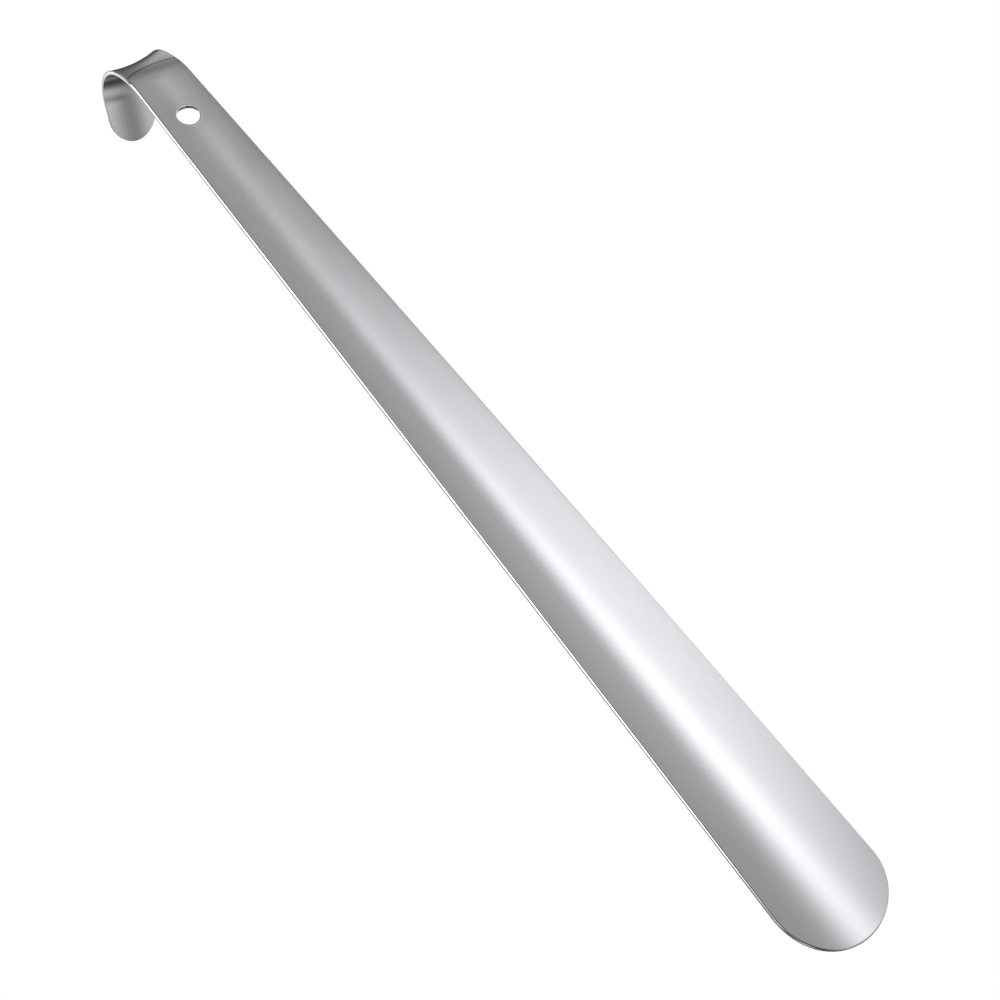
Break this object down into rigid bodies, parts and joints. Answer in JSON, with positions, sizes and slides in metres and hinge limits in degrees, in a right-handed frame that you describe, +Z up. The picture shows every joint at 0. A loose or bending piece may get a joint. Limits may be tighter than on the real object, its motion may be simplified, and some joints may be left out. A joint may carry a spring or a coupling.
{
  "type": "long shoehorn",
  "caption": "Long metal shoehorn: a shallow tapered channel with a rounded blade, a hanging hole and a bent hook at the top.",
  "frame": {"origin": "underside of the hook's crest, in the middle of the width, where a rail or peg carries the shoehorn", "axes": "+Z up along the length, from the blade's tip to the hook; the hollow front of the channel faces -Y; X is the width"},
  "size_m": [0.0418, 0.0502, 0.4197],
  "materials": {
    "stainless_steel": "satin, with a fine lengthwise grain and slightly polished edges"
  },
  "bodies": {
    "root": {"shoehorn_body": "stainless_steel"}
  },
  "joints": []
}
